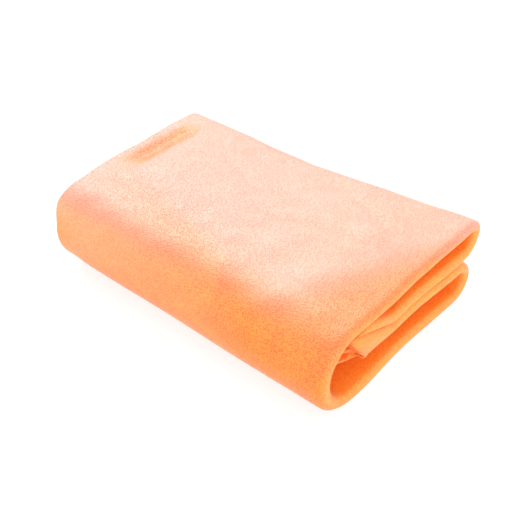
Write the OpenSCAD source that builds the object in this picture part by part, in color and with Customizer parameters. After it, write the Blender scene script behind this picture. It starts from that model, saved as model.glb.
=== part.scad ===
// A folded quick dry towel. The cloth lies in a stack of four plies, both sides are folded to
// the middle and the package is folded once more like a book. Its spine runs along X at -Y, the
// two side folds are at +Y, and the open ends are at -X and +X. The origin is on the floor under
// the middle. The upper half opens about the line where the spine bulges out furthest.

/* [Folded towel] */
// Length of the package, along its folds
fold_length = 370; // [300:5:400]
// Width of the package, from the spine to the furthest side fold
fold_width = 252; // [236:2:280]
// Height of the package
fold_height = 92; // [90:1:100]
// How far the lower side fold stops short of the upper one
lower_setback = 6; // [0:1:12]

/* [Cloth] */
// Thickness of a stack of four plies
stack_t = 12.8; // [11:0.2:13]
// Height at which the two flaps lie on each other
meet_z = 50.5; // [48:0.5:52]
// Clear space between the cloth of the two halves
clear = 0.6; // [0.4:0.1:0.8]

/* [Flap ends] */
// Where the flaps start to rise towards the spine, measured from the middle
bend_y = -14; // [-20:1:-8]
// Angle at which the flaps rise
rise = 23.5; // [20:0.5:24]
// Where the flaps end, measured from the middle
tip_y = -76; // [-78:1:-74]
// Where the end of the lower flap turns up, measured from the middle
turn_up_y = -52; // [-54:1:-48]
// Radius of that turn
turn_up_r = 8; // [5:1:10]
// Slope of the turned-up end
turn_up_slope = 53; // [50:1:60]
// Length of the turned-up end along its slope
turn_up_length = 40; // [34:1:42]

/* [Hems] */
// Width of a hem
hem_w = 14; // [12:1:16]
// Distance of the stitch line from the flap's end
stitch_inset = 6; // [5:0.5:8]
// Distance of the stitch line from the inner edge of a hem along the package's end
end_stitch_inset = 3; // [2:0.5:4]
// Thickness of the sewing thread
thread_d = 0.7; // [0.5:0.1:0.8]
// Length of one stitch
stitch_length = 3.6; // [3:0.2:4]
// Distance from one stitch to the next
stitch_pitch = 5; // [5:0.5:8]

/* [Care label] */
// Length of the label, into the package
label_length = 30; // [20:1:40]
// Width of the label
label_w = 24; // [16:1:40]
// Thickness of the folded label
label_t = 0.8; // [0.6:0.1:1]
// Distance of the label's middle from the middle of the package
label_y = 40; // [0:1:60]

/* [Hidden] */
$fn = 96;
cloth_colour = [1.0, 0.74, 0.56];
hem_colour = [0.98, 0.66, 0.46];
thread_colour = [0.96, 0.6, 0.38];
label_colour = [0.97, 0.97, 0.95];

end_r = stack_t / 2;
hinge_z = fold_height / 2;
spine_y = -fold_width / 2 + fold_height / 2;
spine_r = fold_height / 2 - stack_t / 2;

lower_panel_z = stack_t / 2;
upper_panel_z = fold_height - stack_t / 2;
lower_flap_z = meet_z - clear / 2 - stack_t / 2;
upper_flap_z = meet_z + clear / 2 + stack_t / 2;
panel_underside = fold_height - stack_t;
lower_flap_underside = lower_flap_z - stack_t / 2;

lower_fold_r = (lower_flap_z - lower_panel_z) / 2;
lower_fold_z = (lower_flap_z + lower_panel_z) / 2;
lower_fold_y = fold_width / 2 - lower_setback - lower_fold_r - stack_t / 2;
upper_fold_r = (upper_panel_z - upper_flap_z) / 2;
upper_fold_z = (upper_panel_z + upper_flap_z) / 2;
upper_fold_y = fold_width / 2 - upper_fold_r - stack_t / 2;

stitch_y = tip_y + stitch_inset;
end_stitch_x = -fold_length / 2 + hem_w - end_stitch_inset;
groove_w = 2 * thread_d;
groove_depth = 1.3 * thread_d;
thread_depth = groove_depth - thread_d / 2;
stitch_margin = 4 * end_r;
end_layer_gap = 0.3;
end_length = fold_length - 2 * end_layer_gap;
label_margin = 1.2 * end_r;
// Side of a stack that faces the hollow next to it: above it or towards a turn's axis, or below it
INWARD = 1;
DOWNWARD = -1;

// Height of the surface between the two flaps at a distance y from the middle
function meet_at(y) = meet_z + max(0, bend_y - y) * tan(rise);

// Points of an arc from angle a to angle b
function arc(cy, cz, r, a, b, steps = 8) =
    [for (i = [0:steps]) let (t = a + (b - a) * i / steps) [cy + r * cos(t), cz + r * sin(t)]];

// The lower flap's turn upwards, and the direction in which its end runs on
turn_up_arc = arc(turn_up_y, lower_flap_underside + turn_up_r, turn_up_r, -90, -90 - turn_up_slope);
turn_up_way = [-cos(turn_up_slope), sin(turn_up_slope)];

// A stack of plies seen in section: as long as the package, with rounded ends where the plies turn
module stack_section() {
    square([fold_length - 2 * end_r, stack_t], center = true);
    for (side = [-1, 1])
        translate([side * (fold_length / 2 - end_r), 0]) circle(r = end_r);
}

// The place of the hemmed short edges: the end at -X of the two plies on the hollow's side
module hem_place(side) {
    translate([-fold_length / 2, side * stack_t / 4])
        square([2 * hem_w, stack_t / 2], center = true);
}

// The stack without its hemmed short edges
module cloth_section(side) {
    difference() {
        stack_section();
        hem_place(side);
    }
}

// The hemmed short edges, with the groove that their stitches pull in
module end_hem_section(side) {
    difference() {
        intersection() {
            stack_section();
            hem_place(side);
        }
        translate([end_stitch_x, side * stack_t / 2]) square([groove_w, 2 * groove_depth], center = true);
    }
}

// A section carried straight across the package, between two places, at height z
module straight(y_from, y_to, z) {
    translate([0, y_to, z]) rotate([90, 0, 0]) linear_extrude(height = y_to - y_from) children();
}

// A section turned about a line along X, from angle a to angle b, measured from +Y towards +Z
module turned(y, z, r, a, b) {
    translate([0, y, z]) rotate([90, 0, 90]) rotate([0, 0, a])
        rotate_extrude(angle = b - a) translate([r, 0]) rotate(90) children();
}

// An outline across the package, drawn in Y and Z, carried along its length
module along_package(length) {
    translate([-length / 2, 0, 0]) rotate([90, 0, 90]) linear_extrude(height = length) children();
}

// The end of the lower flap: it rises under the upper flap and turns up inside the spine
module lower_end_outline() {
    polygon(concat(
        [[bend_y, meet_at(bend_y) - clear / 2], [bend_y, lower_flap_underside]],
        turn_up_arc,
        [turn_up_arc[len(turn_up_arc) - 1] + turn_up_length * turn_up_way],
        [[tip_y, meet_at(tip_y) - clear / 2]]
    ));
}

// The end of the upper flap: it rises to the upper panel and thins out as its plies end
module upper_end_outline() {
    top = panel_underside - end_layer_gap;
    start = upper_flap_z + stack_t / 2;
    polygon([
        [bend_y, meet_at(bend_y) + clear / 2],
        [bend_y, start],
        [bend_y - (top - start) / tan(rise), top],
        [tip_y, top],
        [tip_y, meet_at(tip_y) + clear / 2]
    ]);
}

// Everything on one side of a line through a point, towards a direction
module beyond(point, direction) {
    translate(point) rotate(direction) translate([0, -fold_height]) square(2 * fold_height);
}

module beyond_lower_hem() {
    start = turn_up_arc[len(turn_up_arc) - 1];
    beyond(start + (turn_up_length - hem_w) * turn_up_way, 180 - turn_up_slope);
}

module beyond_upper_hem() {
    beyond([tip_y + hem_w, 0], 180);
}

// The groove that a line of stitches pulls into the hem; side is -1 below the meeting surface
module stitch_groove(side) {
    translate([stitch_y, meet_at(stitch_y) + side * clear / 2]) rotate(-rise)
        square([groove_w, 2 * groove_depth], center = true);
}

// One stitch along X, with its middle at the origin
module stitch() {
    translate([-stitch_length / 2, 0, 0]) rotate([0, 90, 0])
        cylinder(h = stitch_length, d = thread_d, $fn = 16);
}

// Separate stitches along X that lie in a flap hem's groove
module hem_stitches(side) {
    count = floor((fold_length - 2 * stitch_margin) / stitch_pitch);
    for (i = [0:count - 1])
        translate([(i - (count - 1) / 2) * stitch_pitch, stitch_y + side * thread_depth * sin(rise),
                   meet_at(stitch_y) + side * (clear / 2 + thread_depth * cos(rise))])
            stitch();
}

// Separate stitches across the package that lie in an end hem's groove, at height z
module end_stitches(y_from, y_to, z) {
    count = floor((y_to - y_from) / stitch_pitch);
    for (i = [0:count - 1])
        translate([end_stitch_x, y_from + (i + 0.5) * stitch_pitch, z]) rotate([0, 0, 90]) stitch();
}

module lower_panel() {
    color(cloth_colour) straight(spine_y, lower_fold_y, lower_panel_z) cloth_section(INWARD);
}

module lower_side_fold() {
    color(cloth_colour)
        turned(lower_fold_y, lower_fold_z, lower_fold_r, -90, 90) cloth_section(INWARD);
}

module lower_flap() {
    color(cloth_colour) straight(bend_y, lower_fold_y, lower_flap_z) cloth_section(DOWNWARD);
}

module lower_flap_end() {
    color(cloth_colour) along_package(end_length) difference() {
        lower_end_outline();
        beyond_lower_hem();
    }
}

module lower_spine() {
    color(cloth_colour) turned(spine_y, hinge_z, spine_r, 180, 270) cloth_section(INWARD);
}

module lower_hem() {
    color(hem_colour) along_package(end_length) difference() {
        intersection() {
            lower_end_outline();
            beyond_lower_hem();
        }
        stitch_groove(-1);
    }
}

module lower_hem_stitches() {
    color(thread_colour) hem_stitches(-1);
}

// The short edges' hems run on from the spine through the panel and the side fold to the flap
module lower_end_hem() {
    color(hem_colour) {
        turned(spine_y, hinge_z, spine_r, 180, 270) end_hem_section(INWARD);
        straight(spine_y, lower_fold_y, lower_panel_z) end_hem_section(INWARD);
        turned(lower_fold_y, lower_fold_z, lower_fold_r, -90, 90) end_hem_section(INWARD);
        straight(bend_y, lower_fold_y, lower_flap_z) end_hem_section(DOWNWARD);
    }
}

module lower_end_stitches() {
    color(thread_colour) {
        end_stitches(spine_y, lower_fold_y, stack_t - thread_depth);
        end_stitches(bend_y, lower_fold_y, lower_flap_z - stack_t / 2 + thread_depth);
    }
}

// A blank label, sewn in at the short edge and lying on the lower panel
module care_label() {
    color(label_colour)
        translate([-fold_length / 2 + label_margin, label_y - label_w / 2, stack_t])
            cube([label_length, label_w, label_t]);
}

module upper_panel() {
    color(cloth_colour) straight(spine_y, upper_fold_y, upper_panel_z) cloth_section(DOWNWARD);
}

module upper_side_fold() {
    color(cloth_colour)
        turned(upper_fold_y, upper_fold_z, upper_fold_r, -90, 90) cloth_section(INWARD);
}

module upper_flap() {
    color(cloth_colour) straight(bend_y, upper_fold_y, upper_flap_z) cloth_section(INWARD);
}

module upper_flap_end() {
    color(cloth_colour) along_package(end_length) difference() {
        upper_end_outline();
        beyond_upper_hem();
    }
}

module upper_spine() {
    color(cloth_colour) turned(spine_y, hinge_z, spine_r, 90, 180) cloth_section(INWARD);
}

module upper_hem() {
    color(hem_colour) along_package(end_length) difference() {
        intersection() {
            upper_end_outline();
            beyond_upper_hem();
        }
        stitch_groove(1);
    }
}

module upper_hem_stitches() {
    color(thread_colour) hem_stitches(1);
}

module upper_end_hem() {
    color(hem_colour) {
        turned(spine_y, hinge_z, spine_r, 90, 180) end_hem_section(INWARD);
        straight(spine_y, upper_fold_y, upper_panel_z) end_hem_section(DOWNWARD);
        turned(upper_fold_y, upper_fold_z, upper_fold_r, -90, 90) end_hem_section(INWARD);
        straight(bend_y, upper_fold_y, upper_flap_z) end_hem_section(INWARD);
    }
}

module upper_end_stitches() {
    color(thread_colour) {
        end_stitches(spine_y, upper_fold_y, panel_underside + thread_depth);
        end_stitches(bend_y, upper_fold_y, upper_flap_z + stack_t / 2 - thread_depth);
    }
}

lower_panel();
lower_side_fold();
lower_flap();
lower_flap_end();
lower_spine();
lower_hem();
lower_hem_stitches();
lower_end_hem();
lower_end_stitches();
care_label();
upper_panel();
upper_side_fold();
upper_flap();
upper_flap_end();
upper_spine();
upper_hem();
upper_hem_stitches();
upper_end_hem();
upper_end_stitches();
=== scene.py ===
"""A folded quick dry towel. Its cloth is one sheet in four plies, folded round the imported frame."""
import math

import bpy
import numpy as np
from mathutils import Matrix, Vector


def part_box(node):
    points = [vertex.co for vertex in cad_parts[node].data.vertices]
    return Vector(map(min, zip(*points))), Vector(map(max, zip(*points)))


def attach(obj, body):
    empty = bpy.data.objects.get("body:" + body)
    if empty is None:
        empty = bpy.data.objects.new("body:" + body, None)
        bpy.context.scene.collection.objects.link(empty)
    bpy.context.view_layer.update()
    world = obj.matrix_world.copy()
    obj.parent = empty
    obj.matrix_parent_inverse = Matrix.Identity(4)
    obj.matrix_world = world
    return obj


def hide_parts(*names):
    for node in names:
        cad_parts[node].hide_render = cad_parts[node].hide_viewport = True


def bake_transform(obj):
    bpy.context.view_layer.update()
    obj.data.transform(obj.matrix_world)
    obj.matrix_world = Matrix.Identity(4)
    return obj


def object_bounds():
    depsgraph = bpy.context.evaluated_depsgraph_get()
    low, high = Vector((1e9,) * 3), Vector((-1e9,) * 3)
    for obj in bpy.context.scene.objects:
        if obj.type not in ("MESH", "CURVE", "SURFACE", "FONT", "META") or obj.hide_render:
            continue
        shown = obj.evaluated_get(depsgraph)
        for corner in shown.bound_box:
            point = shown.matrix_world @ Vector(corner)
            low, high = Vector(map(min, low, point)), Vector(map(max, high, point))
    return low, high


MM = 0.001

# Cloth
PLIES = 4
PLY_SHARE = 0.8  # how much of a stack's thickness is cloth, the rest is air between the plies
CURVE_SOFTNESS = 3.5 * MM  # how far a bend runs out into the flat cloth next to it
SPINE_CROWDING = 7 * MM  # how much thicker the plies bunch up on the hollow side of the spine
RAW_INSET = 0.3 * MM  # how far the cloth's raw ends stop short of the package's far end
SEAM_Y = -50 * MM  # where the cloth of the spine is split from the cloth of the two halves

# Flap ends
RISE = math.radians(23.5)  # slope of the surface between the flaps, near the spine
UPPER_FLAP_END = 2 * MM  # how far the upper flap's cloth stops short of the lower one's tip
UPPER_END_CLEARANCE = 0.8  # how much of its clearance the upper flap's outside ply keeps at that end
MOUTH = (-61 * MM, 46.5 * MM)  # where the lower flap's outside ply ends, folded back down over the end
NOSE = (-3 * MM, -2.5 * MM)  # from the lower flap's tip to where that ply turns back down
INNER_LIP = (-1.5 * MM, -2.2 * MM)  # from the mouth to where the hollow-side ply ends
LIP_FOOT = 3 * MM  # how far past the mouth the hollow-side ply comes down to the flap's floor
BELLY = (-30 * MM, -2.5 * MM)  # how far the hollow-side ply sags along Y and Z
BELLY_GROWS = (0, 13 * MM)  # distances from the flap's edge between which the sag grows
BELLY_FADES = (16 * MM, 46 * MM)  # and between which it fades again
BELLY_LEVELS = (-0.6, 1.0)  # levels in the stack, with their sign turned, between which it grows
BELLY_TO_TURN = 16 * MM  # how far before the turn at the near end it starts to fade

# Hems and their stitches
HEM_WIDTH = 13 * MM
HEM_OVERLAP = 1 * MM  # how far the cloth reaches into its hem
HEM_SWELL = 0.12  # how much thicker a hem is than the cloth
HEM_ROUND = 0.6  # how far in the round of a raw edge reaches, in plies
HEM_TUCK = 0.3  # how much thinner a hem is where it meets the cloth
HEM_TUCK_WIDTH = 0.8 * MM
LEAST_THICKNESS = 0.02  # of a hem at its raw edge, against the cloth's
STITCH_INSET = 10 * MM
STITCH_DIP = 0.38  # how much thinner its seam pulls it
STITCH_DIP_WIDTH = 1.0 * MM
STITCH_MARGIN = 12 * MM  # how far a flap's seam stops short of the package's ends
THREAD = 0.75 * MM
STITCH_LENGTH = 3.6 * MM
STITCH_PITCH = 5.0 * MM
STITCH_SIDES = 6
STITCH_PLACES = (0.0, 0.06, 0.25, 0.5, 0.75, 0.94, 1.0)  # shares of a stitch's length
STITCH_SWELLS = (0.05, 0.6, 1.0, 1.05, 1.0, 0.6, 0.05)  # its radius there, in thread radii
STITCH_LIFTS = (-0.9, -0.45, 0.25, 0.5, 0.25, -0.45, -0.9)  # how high it lies there, in thread radii
# Distances from a raw edge at which the mesh has columns, and those of a hem
EDGE_STEPS = [e * MM for e in (0, 0.25, 0.7, 1.4, 3.5, 6, 8, 9, 10, 11, 12, 13.5, 16, 20)]
HEM_STEPS = [e for e in EDGE_STEPS if e < HEM_WIDTH] + [HEM_WIDTH]

# Care label
TAPE = 0.35 * MM
TAPE_TURN = 0.45 * MM  # radius of the label's fold
TAPE_LIFT = 0.6 * MM  # how high the label comes off the cloth
TAPE_LIFT_RUN = 6 * MM  # how far from its seam it starts to
TAPE_CURL = 1.2 * MM  # how much higher its folded end stands
TAPE_RIPPLE = 0.3 * MM
TAPE_RIPPLE_RUN = 4 * MM  # along the label's width, for each radian of the ripple
TAPE_STEP = 1.2 * MM

# Slump, from the neat folded shape to the settled one
NEAR_END = (120 * MM, 180 * MM)  # X between which the near end's own shape takes over
FAR_END = (130 * MM, 180 * MM)  # the same for the far end, with X turned over
SLUMP_TOP = (0.62, 0.92)  # shares of the height between which the top's shape takes over
FOLD_SIDE = (20 * MM, 110 * MM)  # Y between which the side folds' shape takes over
SPINE_SIDE = (60 * MM, 115 * MM)  # the same for the spine, with Y turned over
NEAR_FOLDS_OUT = 4.0 * MM  # how far the side folds stick out at the near end
NEAR_END_IN = 1.5 * MM  # how far the near end has drawn in
NEAR_SPINE_FOOT_IN = 1.5 * MM  # how far the foot of the spine has drawn in at the near end, along X
FAR_TOP_OUT = 3.5 * MM  # how far the top sticks out at the far end, away from the spine
FAR_TOP_FROM = (0.0, 80 * MM)  # Y between which it starts to
FAR_SPINE_IN = 8 * MM  # how far the spine has drawn in at the far end
FAR_SPINE_TOP = 0.9  # how much less it has at the top
FAR_SPINE_FOOT_IN = 1.5 * MM  # how far its foot has drawn in there, along Y
TAPER = 0.035  # how much narrower the package is at the far end
FOLDS_LEAN = (6.5 * MM, 5.5 * MM)  # how far the side folds lean out at the near end, and how much more on top
LEAN_FROM = (0.0, 180 * MM)  # X between which they start to
CLEFT_DEPTH = 4 * MM  # the cleft between the two side folds
CLEFT_WIDTH = 6 * MM
CLEFT_ABOVE = 0.5 * MM  # how high over the flaps' meeting place it lies
CLEFT_FROM = (70 * MM, 110 * MM)  # Y between which it deepens
WAIST_DEPTH = 3.2 * MM  # how far the side folds have drawn in halfway
WAIST_X = -20 * MM
WAIST_LENGTH = 70 * MM
PLUMP = 4.5 * MM  # how much higher the top stands between its rims
PLUMP_FROM_END = (8 * MM, 75 * MM)  # distances from the near end between which it rises
PLUMP_FROM_SPINE = (30 * MM, 120 * MM)
NEAR_FOLDS_UP = 2.0 * MM  # how much higher the side folds stand at the near end
MIDDLE_DOWN = 1.5 * MM  # how far the top has sunk between the spine and the side folds
TOP_CREASES = (  # where each starts and ends, its depth and its width; the first is the far end's valley
    ((-0.160, 0.075), (-0.162, -0.020), 5.0 * MM, 12 * MM),
    ((-0.09, 0.06), (-0.02, 0.03), 0.8 * MM, 6 * MM),
    ((-0.03, -0.02), (0.07, 0.01), 0.7 * MM, 7 * MM),
    ((0.05, 0.09), (0.13, 0.05), 0.8 * MM, 6 * MM),
)

# Unevenness: how much, the seed, the wavelength and, for the nap, how many waves
UNEVEN_ENDS = (0.7 * MM, 3, 110 * MM)
UNEVEN_SIDES = (0.6 * MM, 5, 160 * MM)
UNEVEN_HEIGHT = (0.008, 7, 170 * MM)  # these two are shares of the height
SMALL_UNEVEN_HEIGHT = (0.005, 8, 60 * MM)
TOP_RIPPLES = (0.3 * MM, 9, 30 * MM)
NAP_WAVES = (0.04 * MM, 11, 9 * MM, 12)

# Mesh spacing
FINE = 2.8 * MM  # along the path across the package
ACROSS = 3.0 * MM  # along X, for the outside ply
MEDIUM = 5 * MM  # for the hollow-side ply
COARSE = 12 * MM  # for the two plies between them
TURN_STEPS = 10  # round the turn at the near end, from the hollow-side ply to the outside ply
SMALL_TURN_STEPS = 6

# Camera
CAMERA_AZIMUTH = math.radians(49.27)  # from +X towards -Y
CAMERA_ELEVATION = math.radians(38.69)
CAMERA_ROLL = math.radians(-0.84)
CAMERA_DISTANCE = 0.9200
CAMERA_LENS = 60.66
CAMERA_AIM = (5.5 * MM, -15.3 * MM)  # how far right of the towel's middle, and above it, the camera looks

# Cloth surface
NAP_STRENGTH = 0.5  # of its bump
TUFT_EDGE = (0.24, 0.56)  # distances from a tuft's middle, in pitches, between which the nap's tone changes
FIBRE_SHARE = 0.3  # how much of the nap comes from single fibres, the rest comes from tufts
FIBRE_DENSITY = 1.7  # waves of the fibres' noise in one pitch of the nap
NAP_SHARE = 0.8  # how much of the tone comes from the nap, the rest comes from patches
PATCH_SCALE = 19.0  # waves of the patches' noise in a metre
PATCH_RANGE = (0.36, 0.66)  # noise values between which a patch turns from deep to pale

# Painted sheen: the outside painted paler on its top and towards its far end
TOP_FROM = (0.52, 0.93)  # shares of the height between which the outside counts as its top
SHEEN_PAINT_FROM_SPINE = (-102 * MM, -45 * MM)  # Y between which the top's painted sheen starts
SHEEN_PAINT_SKEW = 0.15  # how much further from the spine it starts, for each step towards the far end
SHEEN_PAINT_FROM_END = (180 * MM, 125 * MM)  # X between which it starts
SHEEN_PAINT_SLANT = -0.45  # how much nearer to the near end it reaches, for each step away from the spine
SHEEN_PAINT_LEAST = 0.12  # how much of it is left on the rest of the top
SHEEN_PAINT_PATCHINESS = (0.5, 0.48)  # how much of it depends on the nap's tone, and how much doesn't
FAR_SHEEN_PAINT_FROM = (0.3, -0.5)  # shares of the length along X between which the far end's painted sheen grows
FAR_SHEEN_PAINT_HEIGHT = (25 * MM, 64 * MM)  # heights between which it grows
FAR_SHEEN_PAINT_LOW = 0.15  # how much of it is left below them
NEAR_SHEEN_PAINT = (0.99, 0.345, 0.270)  # the painted sheen's colour on the top, towards the near end
NEAR_SHEEN_PAINT_FROM = (-60 * MM, 110 * MM)  # X between which it takes over
SPINE_SHEEN_PAINT = (0.99, 0.440, 0.270)  # the painted sheen's colour below the top
SHADE_PAINT_DEEP = (0.64, 0.045, 0.004)  # painted shade: the outside's top in a deeper orange where it has no painted sheen, from deep to pale
SHADE_PAINT_PALE = (1.0, 0.240, 0.045)
PAINTED_TOP_FROM = (0.80, 0.99)  # shares of the height between which it takes over
SHADE_PAINT_SHARE = 0.7  # how much it does outside the groove
GROOVE_X = -161 * MM  # the groove at the far end of the top has no painted sheen, only painted shade
GROOVE_SIDES = (18 * MM, 7 * MM)  # distances from its middle between which it starts
GROOVE_SPINE_END = (-40 * MM, 0.0)  # Y between which it starts
GROOVE_FOLD_END = (95 * MM, 65 * MM)

# Painted light inside the folds: a brighter, clearer orange standing in for light bounced round the hollow
INSIDE_LIGHT_PAINT_DEEP = (0.94, 0.165, 0.004)  # painted light: the cloth inside the folds in a brighter, clearer orange, from deep to pale
INSIDE_LIGHT_PAINT_PALE = (1.0, 0.350, 0.040)
SKIN = 1 * MM  # how deep under the outside the inside starts
INSIDE_DEPTH = 0.7  # how deep it is all inside, in stacks
INSIDE_TO = (29 * MM, 22 * MM)  # distances past the side folds' turning line between which it ends
FOLD_LEAN = 0.043  # how far the side folds have slid sideways for each step along X

# Light
FLOOR_SIDE = 8.0  # half of the floor's width
FLOOR_GLOW = 0.76
WORLD_STRENGTH = 1.19
DIFFUSE_BOUNCES = 12
AIM = (0, 0, 50 * MM)  # where most lights point, near the towel's middle

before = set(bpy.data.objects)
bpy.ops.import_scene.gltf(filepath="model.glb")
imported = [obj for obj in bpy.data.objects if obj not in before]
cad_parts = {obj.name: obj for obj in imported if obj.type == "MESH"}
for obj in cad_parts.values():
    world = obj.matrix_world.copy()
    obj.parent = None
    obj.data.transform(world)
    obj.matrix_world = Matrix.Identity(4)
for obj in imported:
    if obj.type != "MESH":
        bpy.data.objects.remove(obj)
cad_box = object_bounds()


# ---------------------------------------------------------------- places from the frame

def yz(node):
    """The lowest and highest Y and Z of a CAD node."""
    low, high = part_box(node)
    return low.y, high.y, low.z, high.z


length = cad_box[1].x - cad_box[0].x
height = cad_box[1].z
spine_left, spine_y, _, hinge_z = yz("lower_spine")
bend_y, lower_fold_y, lower_flap_low, lower_flap_high = yz("lower_flap")
_, upper_fold_y, upper_flap_low, upper_flap_high = yz("upper_flap")
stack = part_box("upper_panel")[1].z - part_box("upper_panel")[0].z
tip_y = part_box("upper_hem")[0].y
ply = PLY_SHARE * stack / PLIES
half = (stack - ply) / 2
panel_underside = height - stack
meet_z = (lower_flap_high + upper_flap_low) / 2
clear = (upper_flap_low - lower_flap_high) / 2


# ---------------------------------------------------------------- the path across the package

def same_count(points, count):
    """A polyline resampled to a number of evenly spaced points."""
    run = np.concatenate([[0], np.cumsum(np.linalg.norm(np.diff(points, axis=0), axis=1))])
    at = np.linspace(0, run[-1], count)
    return np.column_stack([np.interp(at, run, points[:, k]) for k in (0, 1)])


def dense(points, step=MM):
    """Points about a step apart along a polyline."""
    points = np.asarray(points, float)
    whole = np.linalg.norm(np.diff(points, axis=0), axis=1).sum()
    return same_count(points, max(2, round(whole / step) + 1))


def arc(y, z, r, start, end, step=MM):
    """Points of an arc about (y, z), with angles in degrees from +Y towards +Z."""
    count = max(4, round(abs(math.radians(end - start)) * r / step) + 1)
    turn = np.radians(np.linspace(start, end, count))
    return np.column_stack([y + r * np.cos(turn), z + r * np.sin(turn)])


def rails_beside(mid):
    """The two outer plies beside a middle line: the inner one on its right, the outer one on its left."""
    along = np.gradient(mid, axis=0)
    along /= np.linalg.norm(along, axis=1)[:, None]
    left = np.column_stack([-along[:, 1], along[:, 0]])
    return mid - half * left, mid + half * left


def meet_at(y):
    """The height at which the two flaps meet, for a place across the package."""
    return meet_z + max(0.0, bend_y - y) * math.tan(RISE)


def lower_end_rails():
    """From the lower flap's edge to where it lies flat. Its outside ply goes up over the end and back."""
    floor = lower_flap_low + ply / 2
    side = ply / 2 + clear
    tip_z = meet_at(tip_y) - side
    nose = (tip_y + NOSE[0], tip_z + NOSE[1])
    outer = dense([MOUTH, nose, (tip_y, tip_z), (bend_y, meet_at(bend_y) - side)])
    lip_y, lip_z = MOUTH
    lip = (lip_y + INNER_LIP[0], lip_z + INNER_LIP[1])
    inner = dense([lip, (lip_y + LIP_FOOT, floor), (bend_y, floor)])
    count = (len(outer) + len(inner)) // 2
    return same_count(inner, count), same_count(outer, count)


def upper_end_rails():
    """From where the upper flap lies flat to its end, pressed thin under the upper panel."""
    side = ply / 2 + clear
    end_y = tip_y + UPPER_FLAP_END
    ceiling = panel_underside - clear - ply / 3
    start = upper_flap_high - ply / 2
    end_z = meet_at(end_y) + side * UPPER_END_CLEARANCE
    outer = dense([(bend_y, meet_at(bend_y) + side), (end_y, end_z)])
    inner = dense([(bend_y, start), (bend_y - (ceiling - start) / math.tan(RISE), ceiling), (end_y, ceiling)])
    count = (len(outer) + len(inner)) // 2
    return same_count(inner, count), same_count(outer, count)


def smooth(points, reach):
    """Points averaged with their neighbours, with both ends held in place."""
    spread = max(1, int(4 * reach / MM))
    weight = np.exp(-0.5 * (np.arange(-spread, spread + 1) * MM / reach) ** 2)
    weight /= weight.sum()
    before = 2 * points[0] - points[spread:0:-1]
    after = 2 * points[-1] - points[-2:-spread - 2:-1]
    padded = np.vstack([before, points, after])
    return np.column_stack([np.convolve(padded[:, k], weight, mode="valid") for k in (0, 1)])


def path_rails():
    """The innermost and outermost ply across the whole package, from one flap's end to the other's."""
    lower_mid = (lower_flap_low + lower_flap_high) / 2
    upper_mid = (upper_flap_low + upper_flap_high) / 2
    floor_mid = stack / 2
    top_mid = height - stack / 2
    middle = np.vstack([
        dense([(bend_y, lower_mid), (lower_fold_y, lower_mid)])[:-1],
        arc(lower_fold_y, (lower_mid + floor_mid) / 2, (lower_mid - floor_mid) / 2, 90, -90)[:-1],
        dense([(lower_fold_y, floor_mid), (spine_y, floor_mid)])[:-1],
        arc(spine_y, hinge_z, hinge_z - stack / 2, 270, 90)[:-1],
        dense([(spine_y, top_mid), (upper_fold_y, top_mid)])[:-1],
        arc(upper_fold_y, (upper_mid + top_mid) / 2, (top_mid - upper_mid) / 2, 90, -90)[:-1],
        dense([(upper_fold_y, upper_mid), (bend_y, upper_mid)]),
    ])
    inner, outer = rails_beside(middle)
    low_inner, low_outer = lower_end_rails()
    high_inner, high_outer = upper_end_rails()
    inner = smooth(np.vstack([low_inner[:-1], inner, high_inner[1:]]), CURVE_SOFTNESS)
    outer = smooth(np.vstack([low_outer[:-1], outer, high_outer[1:]]), CURVE_SOFTNESS)
    crowd = np.clip((spine_y - inner[:, 0]) / (spine_y - spine_left), 0, 1)
    inner[:, 0] += SPINE_CROWDING * crowd
    return inner, outer


inner_rail, outer_rail = path_rails()
middle_rail = (inner_rail + outer_rail) / 2
path_run = np.concatenate([[0], np.cumsum(np.linalg.norm(np.diff(middle_rail, axis=0), axis=1))])
path_length = path_run[-1]


def run_at(y, z):
    """How far along the path the point nearest to (y, z) is."""
    return path_run[np.argmin(np.linalg.norm(middle_rail - (y, z), axis=1))]


# ---------------------------------------------------------------- the cloth's cross section, ply by ply

outer_turn = half  # radius of the turn between the hollow-side ply and the outside ply
inner_turn = half / 3
turn_x = length / 2 - outer_turn - ply / 2
far_turn_x = -length / 2 + inner_turn + ply / 2
raw_x = -length / 2 + RAW_INSET


def run_of(start, end, step):
    """Positions from start to end, about a step apart."""
    return np.linspace(start, end, max(2, round(abs(end - start) / step) + 1))


def raw_edge_columns(start, end, hem_steps, step):
    """Positions from a raw edge inwards: close together over the hem, then a step apart."""
    return np.concatenate([start + np.array(hem_steps), run_of(start + hem_steps[-1], end, step)[1:]])


def turn_columns(x, radius, level, start, end, steps):
    """A half turn of the cloth: positions along X, and levels in the stack from -1 to 1."""
    angle = np.radians(np.linspace(start, end, steps + 1))[1:-1]
    return x + radius * np.cos(angle), level + radius / half * np.sin(angle)


def cross_section(first_edge=0.0):
    """Positions and levels of the sheet's columns, from one raw edge through its three turns to the other."""
    steps = [e for e in EDGE_STEPS if e >= first_edge]
    ply_a = raw_edge_columns(raw_x, turn_x, steps, MEDIUM)
    ply_d = run_of(turn_x, far_turn_x, ACROSS)
    ply_c = run_of(far_turn_x, turn_x, COARSE)
    ply_b = raw_edge_columns(raw_x, turn_x, steps, COARSE)[::-1]
    near_x, near_level = turn_columns(turn_x, outer_turn, 0, -90, 90, TURN_STEPS)
    far_x, far_level = turn_columns(far_turn_x, inner_turn, 2 / 3, 90, 270, SMALL_TURN_STEPS)
    core_x, core_level = turn_columns(turn_x, inner_turn, 0, 90, -90, SMALL_TURN_STEPS)
    x = np.concatenate([ply_a, near_x, ply_d, far_x, ply_c, core_x, ply_b])
    level = np.concatenate([
        np.full(len(ply_a), -1.0), near_level, np.full(len(ply_d), 1.0), far_level,
        np.full(len(ply_c), 1 / 3), core_level, np.full(len(ply_b), -1 / 3),
    ])
    return x, level


# ---------------------------------------------------------------- how the real thing has slumped

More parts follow.
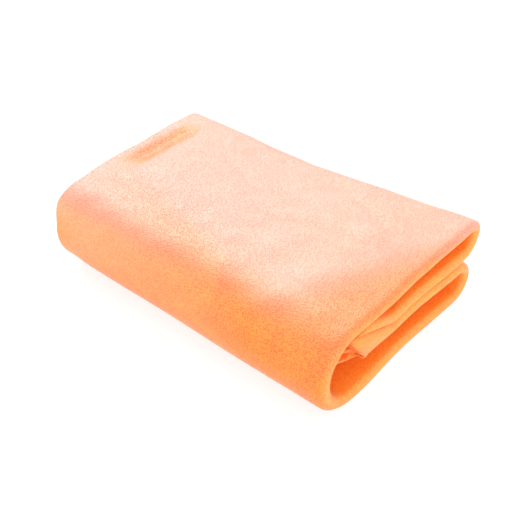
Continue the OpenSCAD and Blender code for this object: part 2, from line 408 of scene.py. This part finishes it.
def waves(a, b, amount, seed, wavelength, count=7):
    """A smooth uneven surface over two coordinates, from about -amount to amount."""
    draw = np.random.default_rng(seed)
    total = np.zeros_like(a)
    for _ in range(count):
        turn = draw.uniform(0, math.tau)
        wave = math.tau / (wavelength * draw.uniform(0.7, 1.6))
        phase = draw.uniform(0, math.tau)
        total += np.sin(wave * (math.cos(turn) * a + math.sin(turn) * b) + phase)
    return amount * total / math.sqrt(count * 1.6)


def ease(value, low, high):
    """0 below low, 1 above high, and smooth between."""
    t = np.clip((value - low) / (high - low), 0, 1)
    return t * t * (3 - 2 * t)


def shares_of(whole, shares):
    """Lengths from shares of a whole."""
    return [share * whole for share in shares]


def bell(value, middle, width):
    """1 at the middle, and falling smoothly to either side."""
    return np.exp(-((value - middle) / width) ** 2)


def crease(x, y, start, end, depth, width):
    """A shallow soft groove between two points of the top."""
    ax, ay = start
    bx, by = end
    run = math.hypot(bx - ax, by - ay)
    along = ((x - ax) * (bx - ax) + (y - ay) * (by - ay)) / run
    aside = ((x - ax) * (by - ay) - (y - ay) * (bx - ax)) / run
    fade = ease(along, -0.25 * run, 0.25 * run) * (1 - ease(along, 0.75 * run, 1.25 * run))
    return -depth * fade * bell(aside, 0, width)


def slump_lengthwise(x, y, z, near, far, top, fold_side, spine_side):
    """How far the cloth has moved along X: the ends have drawn in, stick out and are uneven."""
    shift = near * (NEAR_FOLDS_OUT * fold_side - NEAR_END_IN)
    shift -= FAR_TOP_OUT * far * top * ease(y, *FAR_TOP_FROM)
    shift += FAR_SPINE_IN * far * spine_side * (1 - FAR_SPINE_TOP * top)
    shift -= NEAR_SPINE_FOOT_IN * near * spine_side * (1 - top)
    end = (np.abs(x) / (length / 2)) ** 6
    return shift + end * np.sign(x) * waves(y, 1.3 * z, *UNEVEN_ENDS)


def slump_sideways(x, y, z, far, top, fold_side, spine_side):
    """How far it has moved along Y: the package tapers, and its side folds lean, part and draw in."""
    shift = -y * TAPER * ease(-x, -0.5 * length, 0.5 * length)
    shift += fold_side * (FOLDS_LEAN[0] + FOLDS_LEAN[1] * top) * ease(x, *LEAN_FROM)
    shift -= ease(y, *CLEFT_FROM) * CLEFT_DEPTH * bell(z, meet_z + CLEFT_ABOVE, CLEFT_WIDTH)
    shift += FAR_SPINE_FOOT_IN * far * spine_side * (1 - top)
    shift -= fold_side * WAIST_DEPTH * bell(x, WAIST_X, WAIST_LENGTH)
    side = np.minimum((np.abs(y) / (0.5 * (upper_fold_y - spine_left))) ** 4, 1.3)
    return shift + side * waves(x, z, *UNEVEN_SIDES)


def slump_height(x, y, z, near, top, fold_side, spine_side):
    """The height it has settled to: uneven, plump between the rims, and creased."""
    z = z * (1 + waves(x, y, *UNEVEN_HEIGHT) + waves(x, y, *SMALL_UNEVEN_HEIGHT))
    z = z + top * waves(x, y, *TOP_RIPPLES)
    plump = ease(0.5 * length - x, *PLUMP_FROM_END) * ease(y - spine_left, *PLUMP_FROM_SPINE)
    plump = plump * (1 - fold_side)
    rise = NEAR_FOLDS_UP * near * fold_side + PLUMP * plump
    z = z + top * (rise - MIDDLE_DOWN * (1 - fold_side) * (1 - spine_side))
    for start, end, depth, width in TOP_CREASES:
        z = z + top * crease(x, y, start, end, depth, width)
    return z


def slump(points):
    """Moves points of the neat folded shape to where soft cloth has settled."""
    x, y, z = points.T.copy()
    near = ease(x, *NEAR_END)
    far = ease(-x, *FAR_END)
    top = ease(z, *shares_of(height, SLUMP_TOP))
    fold_side = ease(y, *FOLD_SIDE)
    spine_side = ease(-y, *SPINE_SIDE)
    shift_x = slump_lengthwise(x, y, z, near, far, top, fold_side, spine_side)
    shift_y = slump_sideways(x, y, z, far, top, fold_side, spine_side)
    z = slump_height(x, y, z, near, top, fold_side, spine_side)
    nap = waves(x + 0.7 * z, y + 0.7 * z, *NAP_WAVES)
    return np.column_stack([x + shift_x, y + shift_y + nap, np.maximum(z + nap, 0)])


# ---------------------------------------------------------------- solids made of the sheet

def stack_at(runs):
    """The middle of the stack at places along the path, and the vector from there to its outermost ply."""
    low = np.column_stack([np.interp(runs, path_run, inner_rail[:, k]) for k in (0, 1)])
    high = np.column_stack([np.interp(runs, path_run, outer_rail[:, k]) for k in (0, 1)])
    return (low + high) / 2, (high - low) / 2


def ply_points(runs, x, level):
    """Points of the sheet's mid surface, from places along the path, positions along X and levels."""
    runs, x, level = np.broadcast_arrays(runs, x, level)
    middle, reach = stack_at(runs.ravel())
    yz_points = middle + level.ravel()[:, None] * reach
    sag = ease(runs, *BELLY_GROWS) * (1 - ease(runs, *BELLY_FADES)) * ease(-level, *BELLY_LEVELS)
    sag = sag * (1 - ease(x, turn_x - BELLY_TO_TURN, turn_x))
    yz_points = yz_points + sag.ravel()[:, None] * np.array(BELLY)
    return np.column_stack([x.ravel(), yz_points]).reshape(runs.shape + (3,))


def sheet_points(runs, x, level):
    """One row of points for each place along the path, one column for each position across."""
    return ply_points(runs[:, None], x[None, :], level[None, :])


def pressed(runs):
    """1 where the stack has its full thickness, less where its plies are pressed together."""
    _, reach = stack_at(runs)
    return np.minimum(1, np.linalg.norm(reach, axis=1) / half)


def sheet_normals(points):
    """Unit normals of a grid of points, on the side that is outside once the sheet is folded."""
    along = np.gradient(points, axis=0)
    across = np.gradient(points, axis=1)
    normals = np.cross(along, across)
    return normals / np.linalg.norm(normals, axis=2)[:, :, None]


def solid_from(points, thickness):
    """Vertices and faces of a closed sheet: two skins half a thickness either side, and a rim."""
    normals = sheet_normals(points)
    upper = points + normals * thickness[:, :, None]
    lower = points - normals * thickness[:, :, None]
    rows, columns = points.shape[:2]
    index = np.arange(rows * columns).reshape(rows, columns)
    a, b, c, d = index[:-1, :-1], index[:-1, 1:], index[1:, 1:], index[1:, :-1]
    skin = np.stack([a, d, c, b], axis=-1).reshape(-1, 4)
    rim = np.concatenate([index[0, :-1], index[:-1, -1], index[-1, :0:-1], index[:0:-1, 0], index[:1, 0]])
    edges = np.column_stack([rim[:-1], rim[1:], rim[1:] + rows * columns, rim[:-1] + rows * columns])
    faces = np.vstack([skin, skin[:, ::-1] + rows * columns, edges])
    vertices = np.vstack([upper.reshape(-1, 3), lower.reshape(-1, 3)])
    return vertices, faces


def joined(parts):
    """One set of vertices and faces from several."""
    vertices = []
    faces = []
    count = 0
    for part_vertices, part_faces in parts:
        vertices.append(part_vertices)
        faces.append(part_faces + count)
        count += len(part_vertices)
    return np.vstack(vertices), np.vstack(faces)


def make_piece(name, vertices, faces, material, slot, sharp=40):
    """A mesh object with smooth shading, kept sharp only where faces meet at a steep angle."""
    mesh = bpy.data.meshes.new(name)
    mesh.from_pydata(slump(vertices).tolist(), [], faces.tolist())
    mesh.update()
    piece = bpy.data.objects.new(name, mesh)
    bpy.context.collection.objects.link(piece)
    mesh.shade_smooth()
    mesh.set_sharp_from_angle(angle=math.radians(sharp))
    mesh.materials.append(material)
    return piece


# ---------------------------------------------------------------- looks

class Shading:
    """The shader nodes of one material, added one after another."""

    def __init__(self, name):
        self.material = bpy.data.materials.new(name)
        self.material.use_nodes = True
        self.tree = self.material.node_tree
        self.tree.nodes.clear()
        self.where = self.add("ShaderNodeTexCoord").outputs["Object"]

    def add(self, kind, inputs=None, **settings):
        """A node, and its inputs as numbers, colours or the outputs of other nodes."""
        node = self.tree.nodes.new(kind)
        node.location = (200 * len(self.tree.nodes), 0)
        for key, value in settings.items():
            setattr(node, key, value)
        for key, value in (inputs or {}).items():
            if isinstance(value, bpy.types.NodeSocket):
                self.tree.links.new(value, node.inputs[key])
            else:
                node.inputs[key].default_value = value
        return node

    def math(self, operation, *values):
        return self.add("ShaderNodeMath", dict(enumerate(values)), operation=operation).outputs["Value"]

    def product(self, *values):
        result = values[0]
        for value in values[1:]:
            result = self.math("MULTIPLY", result, value)
        return result

    def ramp(self, value, start, end, kind="SMOOTHSTEP"):
        """0 where the value is at start, 1 where it is at end."""
        inputs = {"Value": value, "From Min": start, "From Max": end}
        return self.add("ShaderNodeMapRange", inputs, interpolation_type=kind).outputs["Result"]

    def mix(self, share, a, b):
        inputs = {"Factor": share, "A": a, "B": b}
        return self.add("ShaderNodeMix", inputs, data_type="FLOAT").outputs["Result"]

    def mix_colours(self, share, a, b):
        inputs = {"Factor": share, "A": a, "B": b}
        return self.add("ShaderNodeMix", inputs, data_type="RGBA", clamp_factor=True).outputs["Result"]


def cloth_material(name, deep, pale, nap_pitch, nap_depth, painted_sheen=None):
    """Brushed microfibre: a pebbly nap, fine fibres, patches where it lies differently, and, if asked,
    painted sheen, painted shade and painted light.
    """
    shading = Shading(name)
    patch_inputs = {"Vector": shading.where, "Scale": PATCH_SCALE, "Detail": 4.0, "Roughness": 0.6,
                    "Distortion": 0.8}
    patches = shading.add("ShaderNodeTexNoise", patch_inputs).outputs["Fac"]
    pile_inputs = {"Vector": shading.where, "Scale": 1 / nap_pitch, "Randomness": 0.9}
    pile = shading.add("ShaderNodeTexVoronoi", pile_inputs, feature="F1").outputs["Distance"]
    fibre_inputs = {"Vector": shading.where, "Scale": FIBRE_DENSITY / nap_pitch, "Detail": 3.0,
                    "Roughness": 0.65}
    fibre = shading.add("ShaderNodeTexNoise", fibre_inputs).outputs["Fac"]
    nap = shading.mix(FIBRE_SHARE, shading.ramp(pile, *TUFT_EDGE, "LINEAR"), fibre)
    tone = shading.mix(NAP_SHARE, shading.ramp(patches, *PATCH_RANGE, "LINEAR"), nap)
    colour = shading.mix_colours(tone, (*deep, 1), (*pale, 1))
    if painted_sheen:
        colour = with_painted_light(shading, tone, colour, painted_sheen)

    bump = shading.add("ShaderNodeBump", {"Strength": NAP_STRENGTH, "Distance": nap_depth, "Height": nap})
    shader = shading.add("ShaderNodeBsdfPrincipled", {
        "Base Color": colour,
        "Normal": bump.outputs["Normal"],
        "Roughness": 0.42,
        "Specular IOR Level": 0.92,
        "Specular Tint": (1.0, 0.72, 0.62, 1),
        "Sheen Weight": 0.16,
        "Sheen Roughness": 0.35,
        "Sheen Tint": (1.0, 0.80, 0.90, 1),
    })
    shading.add("ShaderNodeOutputMaterial", {"Surface": shader.outputs["BSDF"]})
    return shading.material


def top_sheen_paint(shading, x, y, high):
    """Where the top's painted sheen goes: 1 on the outside's top, away from the spine and the near end, and
    less towards those.
    """
    from_spine = shading.ramp(shading.math("MULTIPLY_ADD", x, SHEEN_PAINT_SKEW, y), *SHEEN_PAINT_FROM_SPINE)
    from_end = shading.ramp(shading.math("MULTIPLY_ADD", y, SHEEN_PAINT_SLANT, x), *SHEEN_PAINT_FROM_END)
    away = shading.product(from_spine, from_end)
    return shading.product(high, shading.math("MULTIPLY_ADD", away, 1 - SHEEN_PAINT_LEAST, SHEEN_PAINT_LEAST))


def off_groove(shading, x, y):
    """How much painted sheen the groove keeps: 0 in the groove at the far end of the top, where painted shade
    goes instead, and 1 away from it.
    """
    aside = shading.math("ABSOLUTE", shading.math("SUBTRACT", x, GROOVE_X))
    across = shading.ramp(aside, *GROOVE_SIDES)
    spine_end = shading.ramp(y, *GROOVE_SPINE_END)
    fold_end = shading.ramp(y, *GROOVE_FOLD_END)
    return shading.math("SUBTRACT", 1.0, shading.product(across, spine_end, fold_end))


def inside_folds(shading, x, y, z):
    """Where the painted light inside the folds goes: 1 on the cloth's inner side, towards the hollow and
    between the plies, and 0 outside.
    """
    beyond = shading.math("MAXIMUM", shading.math("SUBTRACT", spine_y, y), 0.0)
    aside = shading.math("SUBTRACT", z, hinge_z)
    reach = shading.add("ShaderNodeCombineXYZ", {"X": beyond, "Y": aside}).outputs["Vector"]
    from_hinge = shading.add("ShaderNodeVectorMath", {0: reach}, operation="LENGTH").outputs["Value"]
    within = shading.ramp(from_hinge, hinge_z - SKIN, hinge_z - INSIDE_DEPTH * stack)
    leaning = shading.math("MULTIPLY_ADD", x, -FOLD_LEAN, y)
    before = shading.ramp(leaning, *(lower_fold_y + past for past in INSIDE_TO))
    return shading.product(within, before)


def far_sheen_paint(shading, x, z):
    """Where the far end's painted sheen goes: 1 high up at the far end, and less towards the near end and the
    floor.
    """
    lengthwise = shading.ramp(x, *shares_of(length, FAR_SHEEN_PAINT_FROM), "LINEAR")
    upwards = shading.ramp(z, *FAR_SHEEN_PAINT_HEIGHT)
    upwards = shading.math("MULTIPLY_ADD", upwards, 1 - FAR_SHEEN_PAINT_LOW, FAR_SHEEN_PAINT_LOW)
    return shading.product(lengthwise, upwards)


def with_painted_light(shading, tone, colour, painted_sheen):
    """Painted light on the outside: paler as painted sheen on its top and far end, a deeper orange as painted
    shade next to that, and the folds' inside a brighter orange as painted light.
    """
    place = shading.add("ShaderNodeSeparateXYZ", {"Vector": shading.where})
    x, y, z = place.outputs
    high = shading.ramp(z, *shares_of(height, TOP_FROM))
    level_top = shading.ramp(z, *shares_of(height, PAINTED_TOP_FROM))
    outside_groove = off_groove(shading, x, y)
    grooved = shading.math("SUBTRACT", 1.0, outside_groove)

    # painted sheen: how much of the outside is painted paler
    sheen_paint_mask = shading.math("MAXIMUM", top_sheen_paint(shading, x, y, high), far_sheen_paint(shading, x, z))
    sheen_paint_mask = shading.product(sheen_paint_mask, outside_groove, shading.math("MULTIPLY_ADD", tone, *SHEEN_PAINT_PATCHINESS))
    near = shading.product(high, shading.ramp(x, *NEAR_SHEEN_PAINT_FROM, "LINEAR"))
    painted_sheen_colour = shading.mix_colours(near, (*painted_sheen, 1), (*NEAR_SHEEN_PAINT, 1))
    painted_sheen_colour = shading.mix_colours(level_top, (*SPINE_SHEEN_PAINT, 1), painted_sheen_colour)

    # painted shade: a deeper orange on the top, all of it in the groove
    painted_shade = shading.mix_colours(tone, (*SHADE_PAINT_DEEP, 1), (*SHADE_PAINT_PALE, 1))
    painted_shade_share = shading.product(level_top, shading.math("MAXIMUM", grooved, SHADE_PAINT_SHARE))
    outside = shading.mix_colours(painted_shade_share, colour, painted_shade)
    outside = shading.mix_colours(sheen_paint_mask, outside, painted_sheen_colour)
    # painted light: a brighter orange inside the folds, for light bounced round the hollow
    painted_inside_light = shading.mix_colours(tone, (*INSIDE_LIGHT_PAINT_DEEP, 1), (*INSIDE_LIGHT_PAINT_PALE, 1))
    return shading.mix_colours(inside_folds(shading, x, y, z), outside, painted_inside_light)


# the cloth's last argument is the colour of its painted sheen
cloth_look = cloth_material("cloth", (0.62, 0.060, 0.002), (1.0, 0.312, 0.018), 1.8 * MM, 0.6 * MM,
                            painted_sheen=(0.985, 0.272, 0.222))
thread_look = cloth_material("thread", (0.96, 0.220, 0.020), (0.98, 0.340, 0.070), 0.6 * MM, 0.12 * MM)
label_look = cloth_material("label", (0.90, 0.880, 0.840), (0.95, 0.935, 0.905), 0.7 * MM, 0.08 * MM)
hem_look = cloth_material("hem", (0.93, 0.150, 0.004), (1.0, 0.320, 0.050), 1.6 * MM, 0.3 * MM)


# ---------------------------------------------------------------- the towel

lower_seam = run_at(SEAM_Y, stack / 2)
upper_seam = run_at(SEAM_Y, height - stack / 2)
hem_end = HEM_WIDTH - HEM_OVERLAP
hem_edge = np.array(HEM_STEPS)


def cloth_part(name, start, end):
    """The sheet between two places along the path, without the hems at its raw edges."""
    x, level = cross_section(hem_end)
    runs = run_of(start, end, FINE)
    points = sheet_points(runs, x, level)
    thickness = (ply / 2 * pressed(runs))[:, None] * np.ones(len(x))
    vertices, faces = solid_from(points, thickness)
    return make_piece(name, vertices, faces, cloth_look, "cloth")


def rounded(edge):
    """The round of a raw edge: 0 at the edge, and 1 from a little way inwards."""
    return np.sqrt(1 - (1 - np.clip(edge / (HEM_ROUND * ply), 0, 1)) ** 2)


def hem_profile(edge):
    """A hem's thickness against the cloth's, from its raw edge in: round, swollen, pulled in at the seam."""
    dip = 1 - STITCH_DIP * bell(edge, STITCH_INSET, STITCH_DIP_WIDTH)
    tuck = 1 - HEM_TUCK * ease(edge, HEM_WIDTH - HEM_TUCK_WIDTH, HEM_WIDTH)
    return np.maximum(LEAST_THICKNESS, rounded(edge) * (1 + HEM_SWELL) * dip * tuck)


def flap_hem(name, at_start):
    """The hem along a flap's edge, through all four plies."""
    x, level = cross_section()
    runs = hem_edge if at_start else (path_length - hem_edge)[::-1]
    from_edge = hem_edge if at_start else hem_edge[::-1]
    reaches_raw_end = (level == -1.0) | (level == -1 / 3)
    rounding = np.where(reaches_raw_end, rounded(x - raw_x), 1.0)
    share = np.maximum(hem_profile(from_edge)[:, None] * rounding, LEAST_THICKNESS)
    thickness = (ply / 2 * pressed(runs))[:, None] * share
    return make_piece(name, *solid_from(sheet_points(runs, x, level), thickness), hem_look, "hem")


def end_hem(name, start, end):
    """The hems at the sheet's two raw ends, which lie on each other at the far end of the package."""
    runs = run_of(start, end, FINE)
    thickness = (ply / 2 * pressed(runs))[:, None] * hem_profile(hem_edge)
    strips = []
    for level, order in ((-1.0, slice(None)), (-1 / 3, slice(None, None, -1))):
        points = sheet_points(runs, raw_x + hem_edge[order], np.full(len(hem_edge), level))
        strips.append(solid_from(points, thickness[:, order]))
    return make_piece(name, *joined(strips), hem_look, "hem")


def surface_at(runs, x, level):
    """Points of one ply's middle, one for each place along the path and position along X, and its normals."""
    step = 0.2 * MM
    points = ply_points(runs, x, level)
    ahead = ply_points(runs + step, x, level)
    across = ply_points(runs, x + step, level) - points
    normals = np.cross(ahead - points, across if level < 0 else -across)
    return points, normals / np.linalg.norm(normals, axis=1)[:, None]


def stitch_faces(rings):
    """Faces of a closed tube, whose rings have STITCH_SIDES points each."""
    index = np.arange(rings * STITCH_SIDES).reshape(rings, STITCH_SIDES)
    following = np.roll(index, -1, axis=1)
    skin = np.stack([index[1:], following[1:], following[:-1], index[:-1]], axis=-1).reshape(-1, 4)
    caps = ([0, 1, 2, 3], [3, 4, 5, 0])
    ends = [index[0, cap] for cap in caps] + [index[-1, cap[::-1]] for cap in caps]
    return np.vstack([skin, ends])


def stitches(runs, x, level, along_x):
    """Short thread stitches, each a bowed capsule whose ends sink into the cloth."""
    places = np.array(STITCH_PLACES)
    radii = THREAD / 2 * np.array(STITCH_SWELLS)
    lift = THREAD / 2 * np.array(STITCH_LIFTS)
    offset = (places - 0.5) * STITCH_LENGTH
    angle = np.radians(np.arange(STITCH_SIDES) * 360 / STITCH_SIDES)
    faces = stitch_faces(len(places))
    surface = ply / 2 * hem_profile(STITCH_INSET)
    parts = []
    for run, place in zip(runs, x):
        line_runs = np.full(len(places), run) if along_x else run + offset
        line_x = place + offset if along_x else np.full(len(places), place)
        points, normals = surface_at(line_runs, line_x, level)
        centres = points + normals * (surface * pressed(line_runs) + lift)[:, None]
        direction = np.gradient(points, axis=0)
        direction /= np.linalg.norm(direction, axis=1)[:, None]
        sides = np.cross(normals, direction)
        rings = []
        for centre, radius, normal, side in zip(centres, radii, normals, sides):
            spokes = np.outer(np.cos(angle), normal) + np.outer(np.sin(angle), side)
            rings.append(centre + radius * spokes)
        parts.append((np.vstack(rings), faces))
    return joined(parts)


def flap_stitches(name, at_start):
    """The seam of a flap's hem, on the two sides of the stack that show."""
    x = np.arange(-length / 2 + STITCH_MARGIN, length / 2 - STITCH_MARGIN, STITCH_PITCH)
    run = STITCH_INSET if at_start else path_length - STITCH_INSET
    seams = [stitches(np.full(len(x), run), x, level, True) for level in (-1.0, 1.0)]
    return make_piece(name, *joined(seams), thread_look, "thread", 60)


def end_stitches(name, start, end):
    """The seam of the end hem, on the side that faces the hollow."""
    runs = np.arange(start, end - STITCH_PITCH / 2, STITCH_PITCH) + STITCH_PITCH / 2
    x = np.full(len(runs), raw_x + STITCH_INSET)
    return make_piece(name, *stitches(runs, x, -1.0, False), thread_look, "thread", 60)


def care_label():
    """A small blank label, folded in two, whose ends are sewn into the far end's hem."""
    low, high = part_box("care_label")
    fold_x = high.x - TAPE_TURN
    flat = run_of(low.x, fold_x, TAPE_STEP)
    angle = np.radians(np.linspace(-90, 90, 9))[1:-1]
    x = np.concatenate([flat, fold_x + TAPE_TURN * np.cos(angle), flat[::-1]])
    turn_z = TAPE_TURN * (1 + np.sin(angle))
    z = low.z + TAPE / 2 + np.concatenate([np.zeros(len(flat)), turn_z, np.full(len(flat), 2 * TAPE_TURN)])
    z = z + TAPE_LIFT * ease(x, low.x + TAPE_LIFT_RUN, high.x) + TAPE_CURL * ease(x, low.x, high.x) ** 2
    y = run_of(low.y, high.y, TAPE_STEP)
    points = np.stack(np.broadcast_arrays(x[None, :], y[:, None], z[None, :]), axis=-1).copy()
    points[:, :, 2] += TAPE_RIPPLE * np.sin(y / TAPE_RIPPLE_RUN)[:, None] * ease(x, low.x, high.x)
    thickness = np.full(points.shape[:2], TAPE / 2)
    label = make_piece("care_label_tape", *solid_from(points, thickness), label_look, "label")
    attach(label, "lower_half")
    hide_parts("care_label")


lower = cloth_part("towel_lower", hem_end, lower_seam)
lower_flap_hem = flap_hem("hem_flap_lower", True)
lower_end_hem = end_hem("hem_end_lower", hem_end, lower_seam)
lower_flap_seam = flap_stitches("seam_flap_lower", True)
lower_end_seam = end_stitches("seam_end_lower", HEM_WIDTH, lower_seam)
for piece in (lower, lower_flap_hem, lower_end_hem, lower_flap_seam, lower_end_seam):
    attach(piece, "lower_half")
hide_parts("lower_panel", "lower_side_fold", "lower_flap", "lower_flap_end")
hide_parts("lower_hem")
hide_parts("lower_end_hem")
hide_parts("lower_hem_stitches")
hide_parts("lower_end_stitches")
care_label()

spine = cloth_part("towel_spine", lower_seam, upper_seam)
spine_end_hem = end_hem("hem_end_spine", lower_seam, upper_seam)
spine_end_seam = end_stitches("seam_end_spine", lower_seam, upper_seam)
for piece in (spine, spine_end_hem, spine_end_seam):
    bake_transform(piece)
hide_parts("lower_spine", "upper_spine")
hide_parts("lower_end_hem", "upper_end_hem")
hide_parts("lower_end_stitches", "upper_end_stitches")

upper = cloth_part("towel_upper", upper_seam, path_length - hem_end)
upper_flap_hem = flap_hem("hem_flap_upper", False)
upper_end_hem = end_hem("hem_end_upper", upper_seam, path_length - hem_end)
upper_flap_seam = flap_stitches("seam_flap_upper", False)
upper_end_seam = end_stitches("seam_end_upper", upper_seam, path_length - HEM_WIDTH)
for piece in (upper, upper_flap_hem, upper_end_hem, upper_flap_seam, upper_end_seam):
    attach(piece, "upper_half")
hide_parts("upper_panel", "upper_side_fold", "upper_flap", "upper_flap_end")
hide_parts("upper_hem")
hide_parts("upper_end_hem")
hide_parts("upper_hem_stitches")
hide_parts("upper_end_stitches")


# ---------------------------------------------------------------- floor, light and camera

def floor_material():
    """Matt grey with a glow of its own, which makes it white."""
    material = bpy.data.materials.new("floor")
    material.use_nodes = True
    inputs = material.node_tree.nodes["Principled BSDF"].inputs
    inputs["Base Color"].default_value = (0.3, 0.3, 0.3, 1)
    inputs["Roughness"].default_value = 0.9
    inputs["Specular IOR Level"].default_value = 0.0
    inputs["Emission Color"].default_value = (1, 1, 1, 1)
    inputs["Emission Strength"].default_value = FLOOR_GLOW
    return material


def make_floor():
    mesh = bpy.data.meshes.new("floor")
    side = FLOOR_SIDE
    corners = [(-side, -side, 0), (side, -side, 0), (side, side, 0), (-side, side, 0)]
    mesh.from_pydata(corners, [], [(0, 1, 2, 3)])
    mesh.materials.append(floor_material())
    floor = bpy.data.objects.new("floor", mesh)
    bpy.context.collection.objects.link(floor)


def area_light(name, place, aim, size, power):
    """A round white light of a size in metres and a power in watts."""
    data = bpy.data.lights.new(name, "AREA")
    data.shape = "DISK"
    data.size = size
    data.energy = power
    light = bpy.data.objects.new(name, data)
    light.location = place
    light.rotation_euler = (Vector(aim) - Vector(place)).to_track_quat("-Z", "Y").to_euler()
    bpy.context.collection.objects.link(light)


def make_world(strength):
    world = bpy.data.worlds.new("studio")
    world.use_nodes = True
    world.node_tree.nodes["Background"].inputs["Color"].default_value = (1, 1, 1, 1)
    world.node_tree.nodes["Background"].inputs["Strength"].default_value = strength
    bpy.context.scene.world = world


def make_camera():
    middle = Vector((0, 0, height / 2))
    toward = Vector((
        math.cos(CAMERA_ELEVATION) * math.cos(CAMERA_AZIMUTH),
        -math.cos(CAMERA_ELEVATION) * math.sin(CAMERA_AZIMUTH),
        math.sin(CAMERA_ELEVATION),
    ))
    data = bpy.data.cameras.new("camera")
    data.lens = CAMERA_LENS
    data.sensor_width = 36
    camera = bpy.data.objects.new("camera", data)
    bpy.context.collection.objects.link(camera)
    facing = (-toward).to_track_quat("-Z", "Y").to_matrix() @ Matrix.Rotation(CAMERA_ROLL, 3, "Z")
    aim = middle + facing @ Vector((*CAMERA_AIM, 0))
    camera.location = aim + toward * CAMERA_DISTANCE
    camera.rotation_euler = facing.to_euler()
    bpy.context.scene.camera = camera


make_floor()
make_world(WORLD_STRENGTH)
area_light("softbox", (-0.80, 0.94, 1.05), AIM, size=1.1, power=12.5)
area_light("side_softbox", (-1.30, 0.40, 1.05), AIM, size=1.1, power=13.0)
area_light("fill", (1.70, -0.30, 1.00), AIM, size=1.2, power=1.6)
area_light("low_fill", (1.45, -0.45, 0.35), (0.1, 0, 0.04), size=0.8, power=6.0)
make_camera()
bpy.context.scene.view_settings.view_transform = "Standard"
bpy.context.scene.cycles.diffuse_bounces = DIFFUSE_BOUNCES
